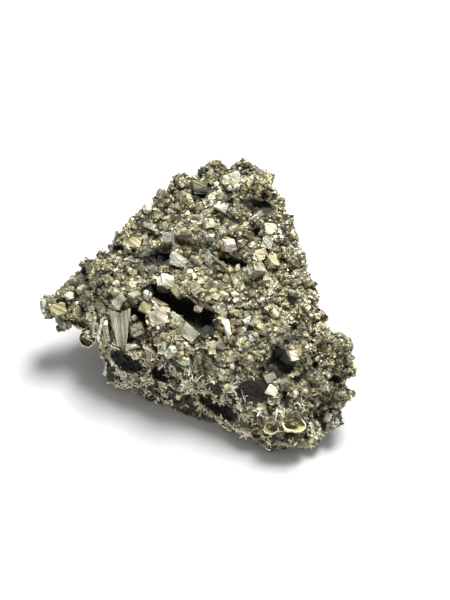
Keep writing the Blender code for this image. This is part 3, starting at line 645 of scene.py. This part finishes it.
def habit_corners(habit, chance=None):
    """Corners of a crystal of this habit. Only a fragment draws them at random."""
    if habit == "fragment":
        ways = chance.normal(size=(FRAGMENT_CORNERS, 3))
        ways /= np.linalg.norm(ways, axis=1)[:, None]
        return [Vector(way) * chance.uniform(*FRAGMENT_REACH) for way in ways]
    corners = [Vector(c) for c in cube_corners()]
    if habit == "pyritohedron":
        for shift in range(3):
            for ridge in (-RIDGE_OUT, RIDGE_OUT):
                for end in (-RIDGE_HALF_LENGTH, RIDGE_HALF_LENGTH):
                    row = [0.0, ridge, end]
                    corners.append(Vector(row[-shift:] + row[:-shift]))
        return [corner * PYRITOHEDRON_SIZE for corner in corners]
    if habit == "cut_cube":
        kept = 1 - CORNER_CUT
        return [
            Vector([side * (kept if axis == cut else 1) for axis, side in enumerate(corner)])
            for corner in corners
            for cut in range(3)
        ]
    if habit == "octahedron":
        return [
            Vector([side * OCTAHEDRON_REACH if axis == way else 0.0 for axis in range(3)])
            for way in range(3)
            for side in (-1, 1)
        ]
    if habit in BROKEN_HABITS:
        return [Vector(corner) for corner in BROKEN_HABITS[habit]]
    return corners


def striated_shape(chance, corners, lines, depth, bevel=0.05):
    """A convex crystal with fine grooves round it, at right angles to its own Z axis."""
    lean = Vector(chance.normal(0, UNEVEN, 3))
    mesh = convex([Vector(corner) * (1 + lean.dot(corner)) for corner in corners], 0.03)
    groove = mesh.verts.layers.float.new("groove")
    if bevel:
        bmesh.ops.bevel(
            mesh, geom=mesh.edges[:], offset=bevel, segments=1, profile=0.5, affect="EDGES"
        )
    reach = max(abs(v.co.z) for v in mesh.verts)
    heights = np.sort(chance.uniform(-GROOVES_REACH, GROOVES_REACH, lines)) * reach
    for number, height in enumerate(heights):
        everything = mesh.verts[:] + mesh.edges[:] + mesh.faces[:]
        cut = bmesh.ops.bisect_plane(
            mesh, geom=everything, dist=1e-5, plane_co=(0, 0, height), plane_no=(0, 0, 1)
        )
        drawn_in = 1 - depth * chance.uniform(*(GROOVE_DEPTHS if number % 2 else RIDGE_DEPTHS))
        for vertex in cut["geom_cut"]:
            if isinstance(vertex, bmesh.types.BMVert):
                vertex.co.x *= drawn_in
                vertex.co.y *= drawn_in
                # Painted shade in every second groove.
                vertex[groove] = GROOVE_SHADE * (number % 2)
    vertices, faces = in_order(mesh)
    points = np.array([v.co[:] for v in vertices])
    grooves = np.array([v[groove] for v in vertices])
    mesh.free()
    return (points, faces), grooves


def lamp_glint(turns):
    """How near a turned cube comes to mirroring the key lamp into the photograph's view."""
    return np.abs(np.einsum("nij,i->nj", turns, np.array(GLINT_NORMAL))).max(axis=1)


def calm_turns(chance, count):
    """Random turns, the calmest of a few draws, so that few large faces glint."""
    drawn = [random_turns(chance, count) for _ in range(GLINT_DRAWS)]
    glint = np.array([lamp_glint(turns) for turns in drawn])
    return np.stack(drawn)[glint.argmin(axis=0), np.arange(count)]


def random_turns(chance, count):
    """Rotation matrices of evenly spread random turns."""
    q = chance.normal(size=(count, 4))
    w, x, y, z = (q / np.linalg.norm(q, axis=1)[:, None]).T
    return np.stack([
        np.stack([1 - 2 * (y * y + z * z), 2 * (x * y - z * w), 2 * (x * z + y * w)], 1),
        np.stack([2 * (x * y + z * w), 1 - 2 * (x * x + z * z), 2 * (y * z - x * w)], 1),
        np.stack([2 * (x * z - y * w), 2 * (y * z + x * w), 1 - 2 * (x * x + y * y)], 1),
    ], 1)


def matrix_mesh():
    """The lump's skin with its large faces cut into small ones.

    The last passes leave 21 duplicate faces, an open fault.
    """
    skin = bmesh.new()
    skin.from_mesh(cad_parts[NODE].data)
    bmesh.ops.remove_doubles(skin, verts=skin.verts, dist=1e-6)
    for _ in range(CUTTING_PASSES):
        long = [edge for edge in skin.edges if edge.calc_length() > LONGEST_EDGE * MM]
        bmesh.ops.subdivide_edges(skin, edges=long, cuts=1)
        bmesh.ops.triangulate(skin, faces=[face for face in skin.faces if len(face.verts) > 3])
    mesh = bpy.data.meshes.new("pyrite_matrix")
    skin.to_mesh(mesh)
    skin.free()
    return mesh


def array_of(collection, key, width, kind=np.float32):
    """One property of all the items, as an array with a row for each."""
    values = np.empty(len(collection) * width, kind)
    collection.foreach_get(key, values)
    return values.reshape(-1, width) if width > 1 else values


def faceted(chance, mesh):
    """Moves the skin's points along their normals by the height of fine tilted facets."""
    points = array_of(mesh.vertices, "co", 3).astype(float) / MM
    normals = array_of(mesh.vertex_normals, "vector", 3).astype(float)
    heights = np.zeros(len(points))
    for number, place in enumerate(points):
        where = Vector(place)
        for size, slope in MATRIX_FACETS:
            heights[number] += facet_height(where, size, slope)
    heights += chance.normal(0, CRUMPLE, len(points))
    # Inside the hollows the walls are smoother.
    hollow = hollow_at(points)
    heights *= 1 - HOLLOW_CALM * hollow
    heights -= SKIN_SUNK
    gaps = crevices(points) * (1 - hollow)
    heights -= gaps
    foot = points[:, 2] < FOOT_HEIGHT
    moved = points + normals * heights[:, None]
    moved[foot, 2] = 0.0
    return points, moved, hollow, heights, gaps


def skin_samples(chance, mesh, count, weight_of):
    """Random places on the skin, with the outward direction there."""
    mesh.calc_loop_triangles()
    corners = array_of(mesh.loop_triangles, "vertices", 3, np.int32)
    points = array_of(mesh.vertices, "co", 3).astype(float) / MM
    a, b, c = (points[corners[:, k]] for k in range(3))
    cross = np.cross(b - a, c - a)
    area = np.linalg.norm(cross, axis=1) / 2
    middle = (a + b + c) / 3
    weight = area * weight_of(middle)
    pick = chance.choice(len(area), count, p=weight / weight.sum())
    u, v = chance.random((2, count))
    over = u + v > 1
    u[over], v[over] = 1 - u[over], 1 - v[over]
    places = a[pick] + (b - a)[pick] * u[:, None] + (c - a)[pick] * v[:, None]
    outward = cross[pick] / (2 * area[pick][:, None] + 1e-12)
    return places, outward


def beside_crystals(places, margin):
    """True where a place is clear of every named crystal, by this many of its half-widths."""
    clear = np.ones(len(places), bool)
    for _, middle, half_widths, turns, _ in CRYSTALS:
        clear &= np.abs(local_to(places, middle, half_widths, turns)).max(axis=1) > margin
    return clear


def fineness(places):
    """1 where the crystals are finest, on the right flank and the upper left edge."""
    x, y, _ = places.T
    right = smooth(*RIGHT_FLANK, x + RIGHT_FLANK_LEAN * y)
    out = x * UPPER_LEFT_WAY[0] + y * UPPER_LEFT_WAY[1]
    edge = smooth(*UPPER_LEFT_EDGE, out) * smooth(*BEHIND_SPUR, y)
    return np.maximum(right, edge * EDGE_FINENESS)


def lacy(places):
    """1 on the steep lower left face, where thin bright edges stand over dark hollows."""
    x, y, z = places.T
    front = smooth(*LACE_BELOW_BRINK, -y - LACE_BRINK - x * LACE_BRINK_SLOPE)
    low = 1 - smooth(*LACE_TOP, z)
    main = front * low * (1 - smooth(*LACE_RIGHT, x)) * smooth(*LACE_LEFT, x)
    across = smooth(*SHOULDER_LEFT, x) * (1 - smooth(*SHOULDER_RIGHT, x))
    shoulder = across * smooth(*SHOULDER_FRONT, -y)
    return np.maximum(main, SHOULDER_LACE * shoulder * (1 - smooth(*SHOULDER_TOP, z)))


def set_inputs(node, values):
    """Sets a node's sockets by name."""
    for key, value in values.items():
        node.inputs[key].default_value = value


def set_range(node, spans):
    set_inputs(node, dict(zip(("From Min", "From Max", "To Min", "To Max"), spans)))


def metal(name, metallic, specular):
    """Pyrite: tinted metal, darkened by soot and painted shade where the attribute says, with a
    fine uneven polish.
    """
    material = bpy.data.materials.new(name)
    material.use_nodes = True
    nodes, links = material.node_tree.nodes, material.node_tree.links
    shader = nodes["Principled BSDF"]
    shader.inputs["Specular IOR Level"].default_value = specular
    where = nodes.new("ShaderNodeTexCoord")

    def attribute(key, output="Fac"):
        node = nodes.new("ShaderNodeAttribute")
        node.attribute_name = key
        return node.outputs[output]

    def speckle(scale, detail):
        node = nodes.new("ShaderNodeTexNoise")
        set_inputs(node, {"Scale": scale, "Detail": detail})
        links.new(where.outputs["Object"], node.inputs["Vector"])
        return node.outputs["Fac"]

    def mapped(value, spans):
        node = nodes.new("ShaderNodeMapRange")
        set_range(node, spans)
        links.new(value, node.inputs["Value"])
        return node.outputs["Result"]

    def maths(operation, a, b):
        node = nodes.new("ShaderNodeMath")
        node.operation = operation
        for socket, value in zip(node.inputs, (a, b)):
            if isinstance(value, float):
                socket.default_value = value
            else:
                links.new(value, socket)
        return node.outputs[0]

    def as_grey(value):
        node = nodes.new("ShaderNodeCombineColor")
        for socket in node.inputs:
            links.new(value, socket)
        return node.outputs["Color"]

    def blended(kind, factor, a, b):
        node = nodes.new("ShaderNodeMix")
        node.data_type = "RGBA"
        node.blend_type = kind
        for key, value in (("Factor", factor), ("A", a), ("B", b)):
            wanted = "VALUE" if key == "Factor" else "RGBA"
            socket = next(s for s in node.inputs if s.name == key and s.type == wanted)
            if isinstance(value, (float, tuple)):
                socket.default_value = value
            else:
                links.new(value, socket)
        return next(s for s in node.outputs if s.type == "RGBA")

    tint, soot_and_shade, polish = attribute("tint", "Color"), attribute("soot_and_shade"), attribute("polish")
    coarse, fine, blotch = speckle(*COARSE_NOISE), speckle(*FINE_NOISE), speckle(*BLOTCH_NOISE)
    lines = nodes.new("ShaderNodeTexNoise")
    lines.noise_dimensions = "1D"
    set_inputs(lines, LINE_NOISE)
    links.new(attribute("line"), lines.inputs["W"])

    colour = blended("MULTIPLY", 1.0, tint, as_grey(mapped(coarse, COARSE_SHADES)))
    colour = blended("MIX", mapped(blotch, TARNISH_SHARES), colour, TARNISH)
    # Soot and painted shade: the attribute mixes in the near-black colour.
    colour = blended("MIX", soot_and_shade, colour, SOOT_AND_SHADE_COLOUR)
    streaks = as_grey(mapped(lines.outputs["Fac"], LINE_SHADES))
    links.new(blended("MULTIPLY", 1.0, colour, streaks), shader.inputs["Base Color"])

    rough = maths("ADD", polish, mapped(fine, FINE_ROUGHNESS))
    rough = maths("ADD", rough, maths("MULTIPLY", soot_and_shade, SOOT_AND_SHADE_ROUGHER))
    links.new(rough, shader.inputs["Roughness"])
    dulled = maths("MULTIPLY", soot_and_shade, SOOT_AND_SHADE_DULLER * metallic)
    links.new(maths("SUBTRACT", metallic, dulled), shader.inputs["Metallic"])

    bump = nodes.new("ShaderNodeBump")
    set_inputs(bump, BUMP)
    heights = maths("ADD", maths("MULTIPLY", fine, FINE_BUMP), lines.outputs["Fac"])
    links.new(heights, bump.inputs["Height"])
    links.new(bump.outputs["Normal"], shader.inputs["Normal"])
    return material


def build_matrix(chance, material):
    """The lump's own skin, with fine facets, crevices, and soot and painted shade."""
    mesh = matrix_mesh()
    points, moved, hollow, heights, gaps = faceted(chance, mesh)
    mesh.vertices.foreach_set("co", (clipped(moved) * MM).astype(np.float32).ravel())
    mesh.update()
    cells = np.array([noise.cell(Vector(p) / CELL_SIZE) for p in points])[:, None]
    olive, brass = np.array(COLOURS["olive"]), np.array(COLOURS["brass"])
    colours = olive + (brass - olive) * cells
    colours = stained(colours * MATRIX_BRIGHTER, points, chance)
    # Painted shade in low places and in the gaps, and soot and painted shade on the lower left
    # face.
    low_shade = LEAST_SOOT + LOW_SHADE * (1 - smooth(*LOW_HEIGHTS, heights))
    gap_shade = GAP_SHADE * smooth(*SHADED_GAPS, gaps)
    soot_and_shade = np.max([hollow, LACE_SOOT_AND_SHADE * lacy(points), low_shade, gap_shade], axis=0)
    for middle, half_widths, _, inside, _ in FRONT_MOULDS:
        reach = np.linalg.norm((points - np.array(middle)) / np.array(half_widths), axis=1)
        # Near the front moulds the soot and painted shade give way to the moulds' inside colour.
        near_mould = 1 - smooth(*MOULD_REACH, reach)
        soot_and_shade *= 1 - MOULD_UNSHADED * near_mould
        colours += (np.array(COLOURS[inside]) - colours) * near_mould[:, None]
    tint = np.column_stack([colours, np.ones(len(colours))])
    lines = [facet_height(Vector(p), *LINE_FACET) for p in points]
    dress(mesh, tint, soot_and_shade, np.full(len(points), MATRIX_POLISH), lines)
    obj = finished("pyrite_matrix", mesh, material)
    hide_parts(NODE)
    return obj


def crowded(places, shift):
    """1 in the patches where the crystals crowd, 0 where the matrix lies bare."""
    shift = Vector((shift, 0, 0))
    at = np.array([noise.noise(Vector(place) / PATCH + shift) for place in places])
    return smooth(*PATCH_EDGE, at)


def thickness(places, finest, hollows, lace, gaps, clear, least, crowd, shift, lowest):
    """How thickly crystals lie at each place, by a rule such as GRAIN_SPREAD."""
    wanted = 1 + finest * fineness(places)
    wanted *= 1 - hollows * hollow_at(places)
    wanted *= 1 - lace * lacy(places)
    wanted *= beside_crystals(places, clear)
    if gaps:
        wanted *= 1 - gaps * smooth(*BARE_GAPS, crevices(places))
    wanted *= least + crowd * crowded(places, shift)
    wanted[places[:, 2] < lowest] = 0.0
    return wanted


def build_grains(chance, skin, material):
    """Small crystals all over the skin, in pieces of about equal size."""
    places, outward = skin_samples(
        chance, skin, GRAINS, lambda middles: thickness(middles, **GRAIN_SPREAD)
    )
    size = np.exp(chance.normal(np.log(GRAIN_HALF_WIDTH), GRAIN_VARIETY, len(places)))
    size = np.clip(size * (1 - GRAIN_FINE_SMALLER * fineness(places)), *GRAIN_LIMITS)
    order = np.argsort(chance.random(len(places)))
    shapes = [hull_shape(habit_corners(habit)) for habit in GRAIN_HABITS]
    tops = np.cumsum([share for share, _ in GRAIN_HABITS.values()])
    bottoms = [0, *tops[:-1]]
    stretches = [stretch for _, stretch in GRAIN_HABITS.values()]
    for number, mine in enumerate(np.array_split(order, GRAIN_PIECES)):
        heap = Heap()
        draw = chance.random(len(mine))
        for shape, bottom, top, stretch in zip(shapes, bottoms, tops, stretches):
            these = mine[(draw >= bottom) & (draw < top)]
            n = len(these)
            half = size[these][:, None] * chance.uniform(*OBLONG, (n, 3))
            half = half * chance.uniform(*stretch, (n, 1))
            raised = size[these] * chance.uniform(*GRAIN_SUNK, n)
            where = places[these] + outward[these] * raised[:, None]
            colours = chosen_colours(chance, where, GRAIN_COLOURS)
            # Painted shade: grains in the hollows are darkened, and grains on the shaded lower
            # left face are darkened at random.
            soot_and_shade = GRAIN_HOLLOW_SHADE * hollow_at(where)
            soot_and_shade = np.clip(soot_and_shade + GRAIN_LACE_SOOT_AND_SHADE * lacy(where) * chance.random(n), 0, 1)
            polish = np.clip(chance.normal(*GRAIN_POLISH, n), *GRAIN_POLISH_LIMITS)
            turns = random_turns(chance, n)
            on_skin = places[these], outward[these]
            heap.add(*shape, where, turns, half, colours, soot_and_shade, polish, on_skin)
        heap.piece(f"pyrite_grains_{number}", material)


def build_crystals(chance, skin, crust_shapes, material):
    """The named crystals, and a crust of middle-sized ones."""
    heap = Heap()
    for habit, middle, half_widths, turns, colour in CRYSTALS:
        corners = habit_corners(habit)
        shape, grooves = striated_shape(chance, corners, NAMED_GROOVES, NAMED_GROOVE_DEPTH)
        heap.add(
            *shape, np.array([middle]), turn_of(turns)[None], np.array([half_widths]),
            np.array([COLOURS[colour]]), np.zeros(1), np.array([NAMED_POLISH]), grooves=grooves,
        )

    places, outward = skin_samples(
        chance, skin, CRUSTS, lambda middles: thickness(middles, **CRUST_SPREAD)
    )
    colours = chosen_colours(chance, places, CRUST_COLOURS)
    turns = calm_turns(chance, CRUSTS)
    size = 1 - CRUST_FINE_SMALLER * fineness(places)
    habits, shares = list(CRUST_HABITS), list(CRUST_HABITS.values())
    for number, place in enumerate(places):
        one = slice(number, number + 1)
        half = chance.uniform(*CRUST_HALF_WIDTH) * chance.uniform(*OBLONG, 3) * size[number]
        habit = chance.choice(habits, p=shares)
        shape, grooves = crust_shapes[habit][number % CRUST_VARIETY]
        where = place - outward[number] * half.min() * CRUST_SUNK
        polish = np.array([chance.uniform(*POLISH)])
        heap.add(
            *shape, where[None], turns[one], half[None], colours[one], np.zeros(1), polish,
            (place[None], outward[one]), grooves,
        )
    heap.piece("pyrite_crystals", material)


def flake_shape(length, width, thick, bend):
    """A thin strip bent along its length, and narrower toward its ends."""
    points, faces = [], []
    for k in range(FLAKE_STEPS + 1):
        along = k / FLAKE_STEPS
        angle = bend * (along - 0.5)
        if abs(bend) > STRAIGHT:
            radius = length / bend
            x, y = radius * math.sin(angle), radius * (1 - math.cos(angle))
        else:
            x, y = length * (along - 0.5), 0.0
        bulge = math.sin(math.pi * (0.15 + 0.7 * along))
        taper = FLAKE_END_WIDTH + (1 - FLAKE_END_WIDTH) * bulge
        nx, ny = -math.sin(angle), math.cos(angle)
        for side, end in ((-1, -1), (1, -1), (1, 1), (-1, 1)):
            out = side * thick / 2
            points.append((x + nx * out, y + ny * out, end * width / 2 * taper))
    for k in range(FLAKE_STEPS):
        a, b = k * 4, k * 4 + 4
        for c in range(4):
            faces.append([a + c, a + (c + 1) % 4, b + (c + 1) % 4, b + c])
    last = FLAKE_STEPS * 4
    faces.append([0, 1, 2, 3])
    faces.append([last + 3, last + 2, last + 1, last])
    return np.array(points), [face[::-1] for face in faces]


def build_flakes(chance, skin, material):
    """Thin bright edges of broken crystals on the lower left face."""
    heap = Heap()

    def weight(places):
        clumps = np.array([noise.noise(Vector(place) / CLUMP) for place in places])
        wanted = smooth(*CLUMP_EDGE, clumps) + RIM_FLAKES * rim_at(places) + STRAY_FLAKES
        wanted = lacy(places) * wanted
        wanted *= 1 - hollow_at(places)
        wanted[places[:, 2] < FLAKE_LOWEST] = 0.0
        return wanted + 1e-9

    places, outward = skin_samples(chance, skin, FLAKES, weight)
    colours = chosen_colours(chance, places, FLAKE_COLOURS)
    colours = colours * chance.uniform(*FLAKE_BRIGHTNESS, (FLAKES, 1))
    colours = np.clip(colours, 0, FLAKE_BRIGHTEST)
    for number, place in enumerate(places):
        one = slice(number, number + 1)
        length = chance.uniform(*FLAKE_LENGTH)
        width = chance.uniform(*FLAKE_WIDTH)
        thick = chance.uniform(*FLAKE_THICKNESS)
        shape = flake_shape(length, width, thick, chance.normal(0, FLAKE_BEND))
        out = Vector(outward[number])
        side = Vector(chance.normal(size=3)).cross(out).normalized()
        upright = np.array([side, out.cross(side), out]).T
        tilt = np.array(Euler(chance.normal(0, FLAKE_TILT, 3)).to_matrix())
        heap.add(
            *shape, (place + outward[number] * FLAKE_RAISED)[None], (upright @ tilt)[None],
            np.ones((1, 3)), colours[one], np.zeros(1), np.array([chance.uniform(*POLISH)]),
        )
    heap.piece("pyrite_flakes", material)


def cup_shape(depth, wall):
    """A thin-walled round cup that opens along +Z, with a rim of radius 1."""
    profile = []
    for turn in np.linspace(0, math.pi / 2, CUP_RINGS):
        profile.append((math.sin(turn), -depth * math.cos(turn)))
    sink = wall * depth * CUP_SINK
    outer = [(r * (1 + wall) if r else 0.0, z * (1 + wall) - sink) for r, z in profile]
    rings = profile[1:] + outer[:0:-1]
    points = [(0, 0, profile[0][1])]
    for r, z in rings:
        for k in range(CUP_SIDES):
            angle = 2 * math.pi * k / CUP_SIDES
            points.append((r * math.cos(angle), r * math.sin(angle), z))
    points.append((0, 0, outer[0][1]))
    last = len(points) - 1
    faces = []
    for k in range(CUP_SIDES):
        after = (k + 1) % CUP_SIDES
        faces.append([0, 1 + k, 1 + after])
        for ring in range(len(rings) - 1):
            start = 1 + ring * CUP_SIDES
            below = start + CUP_SIDES
            faces.append([start + k, below + k, below + after, start + after])
        start = 1 + (len(rings) - 1) * CUP_SIDES
        faces.append([start + k, last, start + after])
    return np.array(points), faces


def build_moulds(material):
    """Thin-walled moulds: two at the front bottom, and a small one under the spur with painted
    shade inside.
    """
    heap = Heap()
    cup, faces = cup_shape(CUP_DEPTH, CUP_WALL)
    inner = 1 + CUP_SIDES * (CUP_RINGS - 2)
    for middle, half_widths, turns, inside, soot_and_shade in MOULDS:
        shade = np.array([COLOURS["brass"]] * len(cup))
        shade[:inner] = COLOURS[inside]
        points = []
        for point in map(Vector, cup):
            wave = noise.noise(point * RIM_WAVES + Vector(middle))
            points.append(point * (1 + RIM_WAVE * wave))
        heap.add(
            np.array(points), faces, np.array([middle]), turn_of(turns)[None],
            np.array([half_widths]), np.array([COLOURS["pale"]]), np.zeros(1),
            np.array([MOULD_POLISH]),
        )
        heap.colours[-1] = np.column_stack([shade, np.ones(len(cup))])
        # Painted shade inside the cup.
        heap.finish[-1][:inner, 0] = soot_and_shade
    heap.piece("pyrite_moulds", material)


def build_floor():
    """White paper under the lump, which is stage only."""
    bpy.ops.mesh.primitive_plane_add(size=4.0, location=(0, 0, 0))
    floor = bpy.context.object
    floor.name = "floor"
    material = bpy.data.materials.new("paper")
    material.use_nodes = True
    set_inputs(material.node_tree.nodes["Principled BSDF"], PAPER)
    floor.data.materials.append(material)


def softbox(name, place, size, strength):
    """A square lamp that faces the lump."""
    lamp = bpy.data.lights.new(name, "AREA")
    lamp.shape = "SQUARE"
    lamp.size = size
    lamp.energy = strength
    obj = bpy.data.objects.new(name, lamp)
    obj.location = place
    away = Vector(place) - Vector(LAMP_AIM)
    obj.rotation_euler = away.to_track_quat("Z", "Y").to_euler()
    bpy.context.scene.collection.objects.link(obj)


def build_light():
    """Two lamps, in surroundings that are bright behind the lump and dim elsewhere."""
    world = bpy.data.worlds.new("studio")
    bpy.context.scene.world = world
    world.use_nodes = True
    nodes, links = world.node_tree.nodes, world.node_tree.links
    back = nodes["Background"]
    where = nodes.new("ShaderNodeTexCoord")

    def toward(way, spans):
        """Light that grows toward this direction."""
        dot = nodes.new("ShaderNodeVectorMath")
        dot.operation = "DOT_PRODUCT"
        dot.inputs[1].default_value = way
        links.new(where.outputs["Generated"], dot.inputs[0])
        ramp = nodes.new("ShaderNodeMapRange")
        set_range(ramp, spans)
        links.new(dot.outputs["Value"], ramp.inputs["Value"])
        return ramp.outputs["Result"]

    both = nodes.new("ShaderNodeMath")
    both.operation = "ADD"
    links.new(toward(WINDOW_WAY, WINDOW_LIGHT), both.inputs[0])
    links.new(toward(WALL_WAY, WALL_LIGHT), both.inputs[1])
    links.new(both.outputs[0], back.inputs["Strength"])
    back.inputs["Color"].default_value = (1, 1, 1, 1)
    for name, (place, size, strength) in LAMPS.items():
        softbox(name, place, size, strength)


def build_camera():
    """The photograph's view, from the front and above."""
    elevation = math.radians(ELEVATION)
    forward = Vector((0, math.cos(elevation), -math.sin(elevation)))
    up = Vector((0, math.sin(elevation), math.cos(elevation)))
    aim = Vector(LUMP_MIDDLE) + Vector((AIM_RIGHT, 0, 0)) + up * AIM_UP
    data = bpy.data.cameras.new("camera")
    data.lens = 83
    data.sensor_width = 36
    data.clip_start = 0.01
    camera = bpy.data.objects.new("camera", data)
    camera.location = (aim - forward * DISTANCE) * MM
    camera.rotation_euler = (math.pi / 2 - elevation, 0, 0)
    bpy.context.scene.collection.objects.link(camera)
    bpy.context.scene.camera = camera


chance = np.random.default_rng(SEED)
crust_shapes = {
    habit: [
        striated_shape(
            chance, habit_corners(habit, chance), CRUST_GROOVES, CRUST_GROOVE_DEPTH, bevel=0.0
        )
        for _ in range(CRUST_VARIETY)
    ]
    for habit in CRUST_HABITS
}
pyrite = metal("pyrite_metal", metallic=0.5, specular=0.45)
skin = build_matrix(chance, pyrite)
build_grains(chance, skin.data, pyrite)
build_crystals(chance, skin.data, crust_shapes, pyrite)
edges = metal("pyrite_edges", metallic=0.1, specular=0.2)
build_flakes(chance, skin.data, edges)
build_moulds(edges)
build_floor()
build_light()
build_camera()
bpy.context.scene.view_settings.view_transform = "Standard"
